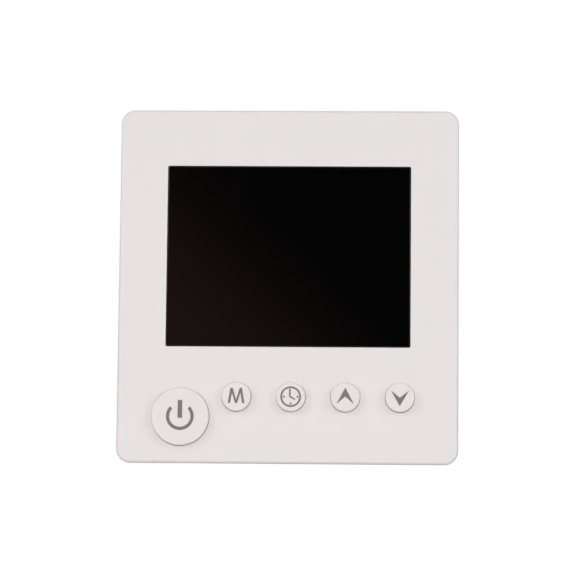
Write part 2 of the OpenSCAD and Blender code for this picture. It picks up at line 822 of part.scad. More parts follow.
wall_plate();
front_cover();
display_window();
window_tape();
dust_seal();
lcd_glass();
lcd_polarisers();
light_guide();
light_reflector();
backlight_leds();
lcd_frame();
lcd_pins();
control_board();
controller_chip();
chip_leads();
clock_crystal();
backup_cell();
cell_clip();
board_smd_parts();
room_sensor();
switch_bases();
switch_plates();
switch_domes();
switch_legs();
pin_header();
header_pins();
board_socket();
rear_cover();
case_screws();
power_board();
power_board_screws();
relay();
transformer_core();
transformer_coil();
electrolytic_capacitors();
film_capacitor();
fuse();
surge_varistor();
rectifier_diodes();
mains_terminal_block();
sensor_terminal_block();
terminal_screws();
wire_clamps();
lock_screw();
power_key();
mode_key();
timer_key();
up_key();
down_key();
power_plunger();
mode_plunger();
timer_plunger();
up_plunger();
down_plunger();
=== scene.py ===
import json
import math

import bmesh
import bpy
from mathutils import Matrix, Vector


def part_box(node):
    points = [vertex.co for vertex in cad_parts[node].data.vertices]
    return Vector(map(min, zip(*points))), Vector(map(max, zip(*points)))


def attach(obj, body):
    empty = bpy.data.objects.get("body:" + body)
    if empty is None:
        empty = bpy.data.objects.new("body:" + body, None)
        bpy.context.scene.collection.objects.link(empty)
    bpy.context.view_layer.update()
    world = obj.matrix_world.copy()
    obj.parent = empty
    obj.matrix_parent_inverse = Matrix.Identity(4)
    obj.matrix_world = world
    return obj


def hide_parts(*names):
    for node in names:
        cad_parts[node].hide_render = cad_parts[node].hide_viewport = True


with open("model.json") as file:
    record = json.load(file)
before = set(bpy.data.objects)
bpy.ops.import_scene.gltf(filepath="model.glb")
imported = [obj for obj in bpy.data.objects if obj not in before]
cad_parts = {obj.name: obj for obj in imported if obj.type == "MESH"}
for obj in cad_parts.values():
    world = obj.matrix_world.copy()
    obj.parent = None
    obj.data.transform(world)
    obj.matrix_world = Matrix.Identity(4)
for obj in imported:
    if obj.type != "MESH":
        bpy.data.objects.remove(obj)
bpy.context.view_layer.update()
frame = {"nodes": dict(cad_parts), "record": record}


# Camera. A long lens looks at the face from a little below its middle and from its left, as one
# looks at a thermostat that is laid down for a product picture. The face's front is its reference.
face_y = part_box("front_cover")[0].y
facing_room = Matrix.Rotation(math.radians(90), 3, "X")
lean = (
    Matrix.Rotation(math.radians(-0.342), 3, "Z")
    @ Matrix.Rotation(math.radians(-1.837), 3, "Y")
    @ Matrix.Rotation(math.radians(-7.224), 3, "X")
)
aim = Vector((-9e-5, -0.00061, 0.6952))


def deselect():
    bpy.ops.object.select_all(action="DESELECT")


deselect()
bpy.ops.object.camera_add()
camera = bpy.context.object
camera.name = "camera"
camera.data.sensor_width = 36
camera.data.lens = 171.84
camera_turn = facing_room @ lean.transposed()
camera.matrix_world = Matrix.Translation(camera_turn @ aim + Vector((0, face_y, 0))) @ camera_turn.to_4x4()
bpy.context.scene.camera = camera


# Studio. A pale floor lies well below the thermostat, which hangs as if on its wall. Soft boxes stand on
# both sides in front and one behind. The room behind the camera is dark, so the window is black, and dark
# screens level with the face draw the grey line round it.
class Wire:
    """An output of a node. Arithmetic with other wires or with numbers adds Math nodes."""

    def __init__(self, finish, socket):
        self.finish = finish
        self.socket = socket

    def math(self, operation, a, b):
        return self.finish.add("ShaderNodeMath", {"operation": operation}, {0: a, 1: b})

    def __add__(self, other):
        return self.math("ADD", self, other)

    def __sub__(self, other):
        return self.math("SUBTRACT", self, other)

    def __rsub__(self, other):
        return self.math("SUBTRACT", other, self)

    def __mul__(self, other):
        return self.math("MULTIPLY", self, other)

    __radd__ = __add__
    __rmul__ = __mul__


class Finish:
    """A material. Its constants are set on the shader itself, and wires are joined to it afterwards."""

    def __init__(self, name, constants):
        self.material = bpy.data.materials.new(name)
        self.material.use_nodes = True
        self.tree = self.material.node_tree
        self.shader = self.tree.nodes["Principled BSDF"]
        for socket, value in constants.items():
            self.shader.inputs[socket].default_value = value

    def add(self, kind, settings, values, output=0):
        node = self.tree.nodes.new(kind)
        for name, value in settings.items():
            if name == "stops":
                self.set_stops(node.color_ramp, value)
            else:
                setattr(node, name, value)
        for socket, value in values.items():
            if isinstance(value, Wire):
                self.tree.links.new(value.socket, node.inputs[socket])
            else:
                node.inputs[socket].default_value = value
        return Wire(self, node.outputs[output])

    def set_stops(self, ramp, stops):
        for i, (place, value) in enumerate(stops):
            stop = ramp.elements[i] if i < 2 else ramp.elements.new(place)
            stop.position = place
            stop.color = (value, value, value, 1)

    def join(self, socket, wire):
        self.tree.links.new(wire.socket, self.shader.inputs[socket])

    def surface(self, colour, roughness, normal=None):
        self.join("Base Color", colour)
        self.join("Roughness", roughness)
        if normal:
            self.join("Normal", normal)

    def place(self):
        """The piece's own coordinates, in metres."""
        return self.add("ShaderNodeTexCoord", {}, {}, output="Object")

    def stretched(self, scale):
        return self.add("ShaderNodeMapping", {}, {"Vector": self.place(), "Scale": scale})

    def noise(self, size, detail=2, where=None, roughness=0.5):
        """Soft noise from 0 to 1 whose blotches are about that size, in metres."""
        where = where or self.place()
        values = {"Vector": where, "Scale": 1 / size, "Detail": detail, "Roughness": roughness}
        return self.add("ShaderNodeTexNoise", {}, values)

    def between(self, wire, low, high):
        """0 below low, 1 above high, and smooth between them."""
        values = {"Value": wire, "From Min": low, "From Max": high}
        return self.add("ShaderNodeMapRange", {"interpolation_type": "SMOOTHSTEP"}, values)

    def specks(self, spacing, size, share):
        """Small round specks of that size, in only a share of the cells that are spacing wide."""
        cells = {"Vector": self.place(), "Scale": 1 / spacing, "Randomness": 1.0}
        distance = self.add("ShaderNodeTexVoronoi", {}, cells)
        chance = self.add("ShaderNodeTexVoronoi", {}, cells, output="Color")
        chance = self.add("ShaderNodeSeparateColor", {}, {0: chance})
        near = 1 - self.between(distance, 0.5 * size / spacing, size / spacing)
        return near * self.between(chance, 1 - share, 1.001 - share)

    def tint(self, mask, first, second):
        colours = {0: mask, 6: first, 7: second}
        return self.add("ShaderNodeMix", {"data_type": "RGBA"}, colours, output=2)

    def bumps(self, height, depth, strength=1.0, under=None):
        values = {"Height": height, "Distance": depth, "Strength": strength}
        if under:
            values["Normal"] = under
        return self.add("ShaderNodeBump", {}, values)


def soft_box(name, place, size, power):
    bpy.ops.object.light_add(type="AREA", location=place)
    light = bpy.context.object
    light.name = name
    light.data.shape = "DISK"
    light.data.size = size
    light.data.energy = power
    light.rotation_euler = (-Vector(place)).to_track_quat("-Z", "Y").to_euler()
    return light


deselect()
soft_box("light_upper_left", (-1.05, -0.75, 0.40), 0.5, 3.5)
soft_box("light_upper_right", (1.10, -0.75, 0.35), 0.5, 3.35)
soft_box("light_rear", (-0.60, 1.20, 0.70), 1.4, 8.0)
front_fill = soft_box("light_front", (0.0, -1.50, 0.02), 0.9, 9.2)
front_fill.visible_glossy = False

deselect()
bpy.ops.mesh.primitive_plane_add(size=14, location=(0, 0, -0.8))
floor = bpy.context.object
floor.name = "floor"
pale_floor = Finish("pale floor", {"Roughness": 0.8})
floor_shade = pale_floor.noise(0.5)
pale_floor.join("Base Color", pale_floor.tint(floor_shade, (0.80, 0.80, 0.79, 1), (0.84, 0.84, 0.84, 1)))
floor.data.materials.append(pale_floor.material)


class Sky(Finish):
    """The world's own nodes, added in the same way."""

    def __init__(self, world):
        self.tree = world.node_tree

    def glow(self, colour, strength):
        return self.add("ShaderNodeBackground", {}, {"Color": colour, "Strength": strength})


world = bpy.data.worlds.new("studio")
bpy.context.scene.world = world
world.use_nodes = True
sky = Sky(world)
direction = sky.add("ShaderNodeTexCoord", {}, {}, output="Generated")


def towards(axis):
    """How far a ray into the room goes along that axis."""
    ends = {0: direction, 1: axis}
    return sky.add("ShaderNodeVectorMath", {"operation": "DOT_PRODUCT"}, ends, output="Value")


# behind, dark screens level with the face, a bright ring in front, and the dark room behind the camera
to_camera = towards((0, -1, 0.12))
shades = [(0.30, 0.48), (0.42, 0.03), (0.60, 0.03), (0.75, 0.50), (0.83, 0.85), (0.92, 0.85), (0.98, 0.02)]
facing = sky.add("ShaderNodeMapRange", {}, {"Value": to_camera, "From Min": -1.0})
fade = sky.add("ShaderNodeValToRGB", {"stops": shades}, {"Fac": facing})
fade.socket.node.color_ramp.interpolation = "EASE"

# a faint warm glow in the dark part of the room, low and to the left of it
warm = 0.24 * sky.between(towards((-1, 0, -1)), -0.125, -0.030) * sky.between(to_camera, 0.970, 0.995)
glows = {0: sky.glow((0.8, 0.8, 0.8, 1), fade), 1: sky.glow((1.0, 0.55, 0.50, 1), warm)}
lit_room = sky.add("ShaderNodeAddShader", {}, glows)
seen = sky.add("ShaderNodeLightPath", {}, {}, output="Is Camera Ray")
backdrop = sky.glow((1, 1, 1, 1), 1.0)
either = sky.add("ShaderNodeMixShader", {}, {0: seen, 1: lit_room, 2: backdrop})
sky.tree.links.new(either.socket, sky.tree.nodes["World Output"].inputs["Surface"])
bpy.context.scene.view_settings.view_transform = "Standard"


# Front cover. One injection moulding in warm white ABS with a fine satin grain: a flat face with a soft
# front edge, flanks that slope in towards the wall, vents in the top and bottom, and behind the face a
# locating rib round the window, collars that guide the keys, and bosses for the case screws.
def named(name):
    """Names the object that was just added and puts its place into its mesh."""
    piece = bpy.context.object
    piece.name = name
    piece.data.name = name
    bpy.ops.object.transform_apply()
    return piece


def only(piece):
    """Selects one piece alone and makes it the active one."""
    deselect()
    bpy.context.view_layer.objects.active = piece
    piece.select_set(True)


def edit(piece):
    """Opens a piece in edit mode with all of it selected."""
    only(piece)
    bpy.ops.object.mode_set(mode="EDIT")
    bpy.ops.mesh.select_all(action="SELECT")


def leave_edit():
    bpy.ops.object.mode_set(mode="OBJECT")


def face_outwards():
    """In edit mode, turns all faces of the piece outwards."""
    bpy.ops.mesh.select_all(action="SELECT")
    bpy.ops.mesh.normals_make_consistent(inside=False)


def extrude(y, z=0):
    bpy.ops.mesh.extrude_region_move(TRANSFORM_OT_translate={"value": (0, y, z)})


def block(name, low, high):
    """A block between two corners."""
    low, high = Vector(low), Vector(high)
    deselect()
    bpy.ops.mesh.primitive_cube_add(size=1, location=(low + high) / 2, scale=high - low)
    return named(name)


def rod(name, start, end, radius, vertices=64):
    """A cylinder from start to end."""
    start, end = Vector(start), Vector(end)
    turn = (end - start).to_track_quat("Z", "Y").to_euler()
    deselect()
    bpy.ops.mesh.primitive_cylinder_add(
        vertices=vertices, radius=radius, depth=(end - start).length,
        location=(start + end) / 2, rotation=turn,
    )
    return named(name)


def turned(name, x, z, steps, vertices=96):
    """A round piece that faces the room. Each step is a radius and the Y of that ring."""
    radius, y = steps[0]
    deselect()
    bpy.ops.mesh.primitive_circle_add(
        vertices=vertices, radius=radius, fill_type="NGON", location=(x, y, z), rotation=(math.pi / 2, 0, 0)
    )
    piece = named(name)
    edit(piece)
    for next_radius, next_y in steps[1:]:
        extrude(next_y - y)
        grow = next_radius / radius
        bpy.ops.transform.resize(value=(grow, 1, grow), center_override=(x, 0, z))
        radius, y = next_radius, next_y
    face_outwards()
    leave_edit()
    return piece


def middle(part):
    """The middle of an edge or face."""
    return sum((v.co for v in part.verts), Vector()) / len(part.verts)


def choose(kind, test):
    """In edit mode, selects only the edges or faces that pass the test."""
    bpy.ops.mesh.select_mode(type=kind)
    bpy.ops.mesh.select_all(action="DESELECT")
    mesh = bpy.context.object.data
    shape = bmesh.from_edit_mesh(mesh)
    for part in shape.edges if kind == "EDGE" else shape.faces:
        if test(part):
            part.select_set(True)
    shape.select_flush_mode()
    bmesh.update_edit_mesh(mesh)


def along(edge, axis):
    """Whether an edge runs along that axis, where 0 is X, 1 is Y and 2 is Z."""
    run = edge.verts[1].co - edge.verts[0].co
    return abs(run[axis]) > 0.999 * run.length


def round_edges(piece, test, radius, segments=4):
    """Rounds the edges that pass the test."""
    edit(piece)
    choose("EDGE", test)
    bpy.ops.mesh.bevel(offset=radius, segments=segments, affect="EDGES")
    leave_edit()
    return piece


def rounded(name, low, high, radius, segments, axis=1):
    """A block whose four edges along an axis are rounded."""
    return round_edges(block(name, low, high), lambda e: along(e, axis), radius, segments)


def level(edge, y):
    """Whether an edge lies flat at that depth."""
    return all(abs(v.co.y - y) < 1e-6 for v in edge.verts)


def joined(pieces):
    deselect()
    for piece in pieces:
        piece.select_set(True)
    bpy.context.view_layer.objects.active = pieces[0]
    bpy.ops.object.join()
    return pieces[0]


def finished(kind, settings):
    """Adds a modifier to the active piece, sets it and applies it."""
    bpy.ops.object.modifier_add(type=kind)
    modifier = bpy.context.object.modifiers[-1]
    for name, value in settings.items():
        setattr(modifier, name, value)
    bpy.ops.object.modifier_apply(modifier=modifier.name)


def combine(piece, tools, operation):
    """Cuts the tools out of a piece, or melts them into it. The tools may not touch each other."""
    tool = joined(tools)
    only(piece)
    finished("BOOLEAN", {"operation": operation, "solver": "EXACT", "object": tool})
    bpy.data.objects.remove(tool)


def cut(piece, tools):
    combine(piece, tools, "DIFFERENCE")


def weld(piece, tools):
    combine(piece, tools, "UNION")


def smooth(piece, edge=0.0, segments=2, angle=32):
    """Breaks the sharp edges by that much, and shades flat faces flat and rounds smooth."""
    only(piece)
    limit = math.radians(angle)
    if edge:
        sharp = {"limit_method": "ANGLE", "angle_limit": limit}
        finished("BEVEL", {"width": edge, "segments": segments, **sharp})
    bpy.ops.object.shade_smooth_by_angle(angle=limit)
    finished("WEIGHTED_NORMAL", {"keep_sharp": True})
    return piece


def dress(piece, finish, body):
    """Gives a piece its finish and the body that it rides on."""
    piece.data.materials.clear()
    piece.data.materials.append(finish.material)
    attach(piece, body)


def flare(radius, lip, mouth_y, steps=5, side=1):
    """Rings of a quarter round that ends at mouth_y: a hole's lip, or with side -1 a rod's rounded edge."""
    angles = [math.pi / 2 * i / steps for i in range(steps + 1)]
    return [(radius + side * lip * (1 - math.cos(a)), mouth_y + lip * (1 - math.sin(a))) for a in angles]


cover_low, cover_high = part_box("front_cover")
rim_y = cover_high.y
cover_wall = 0.002
band_y = face_y + 0.0018
inside_y = face_y + cover_wall
cavity_band_y = inside_y + 0.0015
side_slope = 0.0025
edge_round = 0.0007
corner_round = 0.0035

cover = rounded("front_cover_shell", cover_low, cover_high, corner_round, 10)
edit(cover)
bpy.ops.mesh.bisect(plane_co=(0, band_y, 0), plane_no=(0, 1, 0))
choose("FACE", lambda f: f.normal.y > 0.9)
narrow = Vector((1 - side_slope / cover_high.x, 1, 1 - side_slope / cover_high.z))
bpy.ops.transform.resize(value=narrow, center_override=(0, 0, 0))
bpy.ops.mesh.inset(thickness=cover_wall, use_even_offset=True)
hollow_x = cover_high.x - cover_wall
hollow_z = cover_high.z - cover_wall
widen = Vector((hollow_x / (hollow_x - side_slope), 1, hollow_z / (hollow_z - side_slope)))
extrude(cavity_band_y - rim_y)
bpy.ops.transform.resize(value=widen, center_override=(0, 0, 0))
extrude(inside_y - cavity_band_y)
leave_edit()
round_edges(cover, lambda e: level(e, face_y), edge_round, 7)

# the window's opening, with a thin rounded lip round its mouth
window_low, window_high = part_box("display_window")
lens_flange = Vector((0.0015, 0, 0.0015))
lens_gap = 0.00015
mouth_lip = 9e-5
opening_low = window_low + lens_flange
opening_high = window_high - lens_flange
opening_mid = (opening_low + opening_high) / 2


def window_cutter():
    """A bar as wide as the opening whose last stretch flares out in a quarter round."""
    tool = rounded("cutter", (opening_low.x, inside_y - 0.0001, opening_low.z),
                   (opening_high.x, inside_y + 0.001, opening_high.z), 0.0004, 4)
    half = (opening_high - opening_low) / 2
    edit(tool)
    choose("FACE", lambda f: f.normal.y < -0.9)
    y, reach = inside_y - 0.0001, 0.0
    for grow, next_y in flare(0, mouth_lip, face_y) + [(mouth_lip, face_y - 0.001)]:
        extrude(next_y - y)
        wider = Vector(((half.x + grow) / (half.x + reach), 1, (half.z + grow) / (half.z + reach)))
        bpy.ops.transform.resize(value=wider, center_override=opening_mid)
        y, reach = next_y, grow
    leave_edit()
    return tool


KEYS = ["power", "mode", "timer", "up", "down"]
key_flange = 0.0008
key_gap = 6e-5
key_lip = 5e-5


def key_place(name):
    """A key's middle and radius, from the box of its node: the flange reaches past its face on all sides."""
    low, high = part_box(name + "_key")
    radius = (high.x - low.x) / 2 - key_flange
    return (low.x + high.x) / 2, high.z - key_flange - radius, radius


def key_cutter(name):
    x, z, radius = key_place(name)
    hole = radius + key_gap
    rings = [(hole, inside_y + 0.001)] + flare(hole, key_lip, face_y)
    return turned("cutter", x, z, rings + [(rings[-1][0], face_y - 0.001)])


def ring(name, x, z, outer, inner, low_y, high_y, vertices=64):
    """A round collar."""
    piece = rod(name, (x, low_y, z), (x, high_y, z), outer, vertices)
    cut(piece, [rod("cutter", (x, low_y - 0.001, z), (x, high_y + 0.001, z), inner, vertices)])
    return piece


into_wall = inside_y - 0.0004
collar_play = 0.0002
collar_wall = 0.0009
collar_depth = 0.003
keyway_half_w = 0.0008


def key_collar(name):
    """A collar that guides a key, with a slot below for the key's lug."""
    x, z, radius = key_place(name)
    bore = radius + key_flange + collar_play
    collar = ring("collar", x, z, bore + collar_wall, bore, into_wall, inside_y + collar_depth, 96)
    keyway = block("cutter", (x - keyway_half_w, face_y, z - bore - 0.003),
                   (x + keyway_half_w, 0, z - bore + 0.0005))
    cut(collar, [keyway])
    return collar


board_low, board_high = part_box("control_board")
screw_low, screw_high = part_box("case_screws")
screw_head = 0.0021
screw_x = screw_high.x - screw_head
screw_tops = [screw_high.z - screw_head, screw_low.z + screw_head]
screw_places = [(side * screw_x, z) for side in (-1, 1) for z in screw_tops]

weld(cover, [key_collar(name) for name in KEYS])
boss_r = 0.0026
pilot_r = 0.00102
weld(cover, [ring("boss", x, z, boss_r, pilot_r, into_wall, board_low.y) for x, z in screw_places])
post_places = [(0.0079, -0.0365), (0.0215, -0.0365), (0.036, -0.030)]
weld(cover, [rod("post", (x, into_wall, z), (x, board_low.y, z), 0.0018, 32) for x, z in post_places])

# the locating rib, a low wall round the window's flange
rib_height = 0.0014
rib_margin = Vector((0.0011, 0, 0.0011))
rib = block("rib", window_low - rib_margin, window_high + rib_margin)
edit(rib)
choose("FACE", lambda f: f.normal.y < -0.9)
bpy.ops.transform.translate(value=(0, into_wall - window_low.y, 0))
choose("FACE", lambda f: f.normal.y > 0.9)
bpy.ops.transform.translate(value=(0, inside_y + rib_height - window_high.y, 0))
bpy.ops.mesh.inset(thickness=0.0009)
extrude(-2e-5 - rib_height)
leave_edit()
weld(cover, [rib])

cut(cover, [window_cutter()] + [key_cutter(name) for name in KEYS])


vent_half_w = 0.0007


def vent_cutter(x, side):
    """A slot through the top or bottom flank, with rounded ends."""
    return rounded("cutter", (x - vent_half_w, -0.010, side * cover_high.z - 0.005),
                   (x + vent_half_w, -0.0035, side * cover_high.z + 0.005), 0.0005, 4, axis=2)


vent_pitch = 0.0032
vents = [vent_cutter(vent_pitch * i, 1) for i in range(-4, 5)]
vents += [vent_cutter(side * (0.008 + vent_pitch * i), -1) for side in (-1, 1) for i in range(5)]
cut(cover, vents)

lock_low, lock_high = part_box("lock_screw")
lock_y = (lock_low.y + lock_high.y) / 2
lock_head = (lock_high.y - lock_low.y) / 2
lock_head_height = 0.0013
lock_seat_z = lock_low.z + lock_head_height
weld(cover, [rod("boss", (0, lock_y, -0.0425), (0, lock_y, lock_seat_z + 0.0016), 0.0024, 48)])
cut(cover, [rod("cutter", (0, lock_y, -0.05), (0, lock_y, -0.03), 0.00115, 48)])
cut(cover, [rod("cutter", (0, lock_y, -0.05), (0, lock_y, lock_seat_z), lock_head + 0.0002, 64)])
weld(cover, [block("catch", (x - 0.003, -0.0021, -0.0415), (x + 0.003, -0.0013, -0.0398))
             for x in (-0.02, 0.02)])
smooth(cover, 8e-5)

satin_abs = Finish("warm white satin ABS", {"Roughness": 0.38, "IOR": 1.53})
blotch = satin_abs.noise(0.02, 3)
dust = satin_abs.specks(0.006, 0.00012, 0.18)
body_tint = satin_abs.tint(blotch, (0.792, 0.756, 0.754, 1), (0.802, 0.760, 0.763, 1))
body_tint = satin_abs.tint(dust * 0.5, body_tint, (0.45, 0.42, 0.40, 1))
grain = satin_abs.noise(0.00022, 3)
gloss = 0.19 + 0.08 * satin_abs.noise(0.012, 4) + 0.04 * grain
satin_abs.surface(body_tint, gloss, satin_abs.bumps(grain, 6e-6, 0.6))
dress(cover, satin_abs, "housing")
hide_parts("front_cover")


# Display window. A 3 mm pane of smoked black acrylic, milled with a flange that is taped to the back of
# the front cover. Its polished face stands a hair behind the cover's, with a small chamfer round it.
lens_y = window_low.y
lens_chamfer = 0.00022
flange_y = inside_y + 0.0002
window = rounded("display_window_pane", (window_low.x, flange_y, window_low.z), window_high, 0.0005, 4)
pane = rounded("pane", (opening_low.x + lens_gap, lens_y, opening_low.z + lens_gap),
               (opening_high.x - lens_gap, flange_y + 0.0005, opening_high.z - lens_gap), 0.0003, 3)
round_edges(pane, lambda e: level(e, lens_y), lens_chamfer, 4)
weld(window, [pane])
smooth(window)

smoked_acrylic = Finish("smoked black acrylic", {"IOR": 1.49})
smear = smoked_acrylic.noise(0.009, 4, smoked_acrylic.stretched((1, 1, 0.35)))
lint = smoked_acrylic.specks(0.007, 0.00014, 0.2)
black, pale_lint = (0.0006, 0.0006, 0.0006, 1), (0.10, 0.095, 0.09, 1)
gloss = 0.03 + 0.05 * smoked_acrylic.between(smear, 0.5, 0.8) + 0.4 * lint
smoked_acrylic.surface(smoked_acrylic.tint(lint, black, pale_lint), gloss)
dress(window, smoked_acrylic, "housing")
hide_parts("display_window")


# Keys. Five round caps in the same ABS as the cover, a little smoother: a flat top with a rounded edge, a
# flange that stops behind the cover's face, a lug that keeps the sign upright, and a stem to the switch.
satin_key = Finish("white key ABS", {"IOR": 1.53})
key_blotch = satin_key.noise(0.006, 3)
key_tint = satin_key.tint(key_blotch, (0.800, 0.760, 0.758, 1), (0.810, 0.766, 0.768, 1))
key_bumps = satin_key.bumps(satin_key.noise(0.0002, 3), 4e-6, 0.4)
satin_key.surface(key_tint, 0.13 + 0.06 * satin_key.noise(0.004, 4), key_bumps)

ink_depth = 3e-5
key_edge = 0.0004
key_skin = 0.0012
stem_play = 2e-5
flange_back_y = inside_y + 0.00105
flange_front_y = inside_y + 5e-5


def key_cap(name):
    x, z, radius = key_place(name)
    low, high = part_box(name + "_key")
    top_y = low.y + ink_depth
    stem = 0.0025 if radius > 0.005 else 0.0017
    outer = radius + key_flange
    rings = [(outer, flange_back_y), (outer, flange_front_y), (radius, flange_front_y)]
    cap = turned(name + "_key_cap", x, z, rings + flare(radius, key_edge, top_y, 6, -1))
    edit(cap)
    choose("FACE", lambda f: f.normal.y > 0.9 and middle(f).y > flange_front_y + 0.0005)
    bpy.ops.mesh.inset(thickness=outer - (radius - key_skin))
    skin_back = top_y + key_skin - flange_back_y
    extrude(skin_back)
    bpy.ops.mesh.inset(thickness=radius - key_skin - stem)
    stem_length = high.y - stem_play - top_y - key_skin
    extrude(stem_length)
    choose("FACE", lambda f: abs(middle(f).x - x) < 0.0006 and f.normal.z < -0.9
           and middle(f).z < z - outer + 0.0003 and flange_front_y < middle(f).y < flange_back_y)
    extrude(0, low.z - (z - outer))
    face_outwards()
    leave_edit()
    dress(smooth(cap), satin_key, name + "_key")
    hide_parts(name + "_key")


for key in KEYS:
    key_cap(key)

# Signs on the keys. They are pad-printed in taupe ink: a power sign, a letter for the mode, a clock face
# and two arrowheads. Each is a film of ink on top of its key, and moves with it.
ink = Finish("taupe ink", {"Roughness": 0.5, "IOR": 1.5})
worn = ink.noise(0.0004, 4)
ink.surface(ink.tint(worn, (0.190, 0.158, 0.142, 1), (0.235, 0.196, 0.178, 1)), 0.42 + 0.2 * worn)

ink_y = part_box("power_key")[0].y + ink_depth


def ink_disc(x, z, radius, vertices=48):
    """A flat round of ink that faces the room."""
    deselect()
    bpy.ops.mesh.primitive_circle_add(
        vertices=vertices, radius=radius, fill_type="NGON", location=(x, ink_y, z),
        rotation=(math.pi / 2, 0, 0)
    )
    return named("ink")


def ink_ring(x, z, radius, stroke, vertices=96):
    piece = ink_disc(x, z, radius, vertices)
    edit(piece)
    bpy.ops.mesh.inset(thickness=stroke)
    bpy.ops.mesh.delete(type="FACE")
    leave_edit()
    return piece


def ink_bar(start, end, width):
    """A straight stroke of ink between two points, each an x and a z."""
    start, end = Vector((start[0], ink_y, start[1])), Vector((end[0], ink_y, end[1]))
    run = end - start
    deselect()
    bpy.ops.mesh.primitive_plane_add(
        size=1, location=(start + end) / 2, rotation=(math.pi / 2, -math.atan2(run.z, run.x), 0)
    )
    bpy.context.object.scale = (run.length, width, 1)
    return named("ink")


def ink_quad(corners):
    """A plane whose four corners are moved to these places, each an x and a z."""
    deselect()
    bpy.ops.mesh.primitive_plane_add(size=1, location=(0, ink_y, 0), rotation=(math.pi / 2, 0, 0))
    piece = named("ink")
    for vertex, (x, z) in zip([piece.data.vertices[i] for i in (0, 1, 3, 2)], corners):
        vertex.co = (x, ink_y, z)
    return piece


def thickened(stroke):
    """Gives a flat stroke the thickness of the film of ink."""
    edit(stroke)
    face_outwards()
    leave_edit()
    finished("SOLIDIFY", {"thickness": 2 * ink_depth, "offset": 0})
    return stroke


def print_on(key, strokes):
    """Melts the strokes into one film of ink that rides on its key."""
    sign = thickened(strokes[0])
    for stroke in strokes[1:]:
        weld(sign, [thickened(stroke)])
    sign.name = key + "_key_sign"
    sign.data.name = sign.name
    dress(sign, ink, key + "_key")


# power: a ring that is open at the top, and an upright bar through the opening
x, z, radius = key_place("power")
arc = ink_ring(x, z, 0.0035, 0.00082)
edit(arc)
choose("FACE", lambda f: middle(f).z - z > abs(middle(f).x - x))
bpy.ops.mesh.delete(type="FACE")
leave_edit()
print_on("power", [arc, ink_bar((x, z - 0.00043), (x, z + 0.00405), 0.00115)])

# mode: a letter with splayed legs, each side with its own leg and slanting arm
x, z, radius = key_place("mode")
foot, apex_z, apex_in, apex_out = z - 0.0017, z + 0.00215, 0.00088, 0.00146
strokes = []
for side in (-1, 1):
    strokes.append(ink_quad([
        (x + side * 0.0015, foot), (x + side * 0.0021, foot),
        (x + side * apex_out, apex_z), (x + side * apex_in, apex_z),
    ]))
    strokes.append(ink_quad([
        (x - side * 0.00026, foot), (x + side * 0.00026, foot),
        (x + side * apex_out, apex_z), (x + side * apex_in, apex_z),
    ]))
print_on("mode", strokes)

# timer: a ring with three dots and two hands
x, z, radius = key_place("timer")
dot_places = [(0.00175, 0), (-0.00175, 0), (0, -0.00175)]
dots = [ink_disc(x + dx, z + dz, 0.00027, 16) for dx, dz in dot_places]
hands = [ink_bar((x - 0.0002, z - 0.0001), (x - 0.0002, z + 0.0020), 0.0004)]
hands += [ink_bar((x - 0.0002, z + 5e-5), (x + 0.0011, z - 0.0007), 0.0004)]
print_on("timer", [ink_ring(x, z, 0.0026, 0.00045)] + dots + hands)

# up and down: arrowheads with a notch in the back
for key, tip, wing, foot, notch in (("up", 0.0024, -0.00223, -0.0018, 0.00015),
                                    ("down", -0.0022, 0.0023, 0.0018, -0.0001)):
    x, z, radius = key_place(key)
    print_on(key, [ink_quad([(x, z + tip), (x + wing, z + foot), (x, z + notch), (x - wing, z + foot)])])


# Rear cover. A second moulding in off-white ABS: a flange that closes the front cover from behind, and a
# box for the mains side that sinks into the wall box. Its grain is coarser, because it stays hidden.
plate_front_y = -0.0038
plate_back_y = -0.0022
rear_low, rear_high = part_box("rear_cover")
case_half_x = 0.0235
case_half_z = 0.025
case_wall = 0.0016
bottom_y = rear_high.y
bite = 0.0003

rear = rounded("rear_cover_shell", (rear_low.x, plate_front_y, rear_low.z),
               (rear_high.x, plate_back_y, rear_high.z), 0.0015, 5)
case = rounded("case", (-case_half_x, plate_back_y - bite, -case_half_z),
               (case_half_x, bottom_y, case_half_z), 0.002, 6)
round_edges(case, lambda e: level(e, bottom_y), 0.0009, 4)
weld(rear, [case])

# the raised pockets that clear the heads of the wall screws, and the bosses and posts on the flange
fixing_x = 0.030
pocket_y = plate_front_y - 0.0014
pockets = []
for x in (-fixing_x, fixing_x):
    pocket = rounded("pocket", (x - 0.0066, pocket_y, -0.0084), (x + 0.0066, plate_front_y + bite, 0.0054),
                     0.0016, 4)
    pockets.append(round_edges(pocket, lambda e: level(e, pocket_y), 0.0005, 3))
weld(rear, pockets)
board_back_y = board_high.y
weld(rear, [rod("boss", (x, board_back_y, z), (x, plate_back_y - bite, z), boss_r)
            for x, z in screw_places])
weld(rear, [rod("post", (x, board_back_y, z), (x, plate_front_y + bite, z), 0.0015, 32)
            for x, z, radius in map(key_place, KEYS)])

# the hollow of the box, with the two bosses for the power board
case_floor_y = bottom_y - case_wall
cut(rear, [rounded("cutter", (case_wall - case_half_x, -0.01, case_wall - case_half_z),
                   (case_half_x - case_wall, case_floor_y, case_half_z - case_wall), 0.001, 4)])
power_board_back_y = 0.014
power_screw_places = [(-0.0196, -0.0095), (0.0196, 0.0203)]
for x, z in power_screw_places:
    weld(rear, [ring("boss", x, z, 0.0024, pilot_r, power_board_back_y, case_floor_y + 0.0004)])

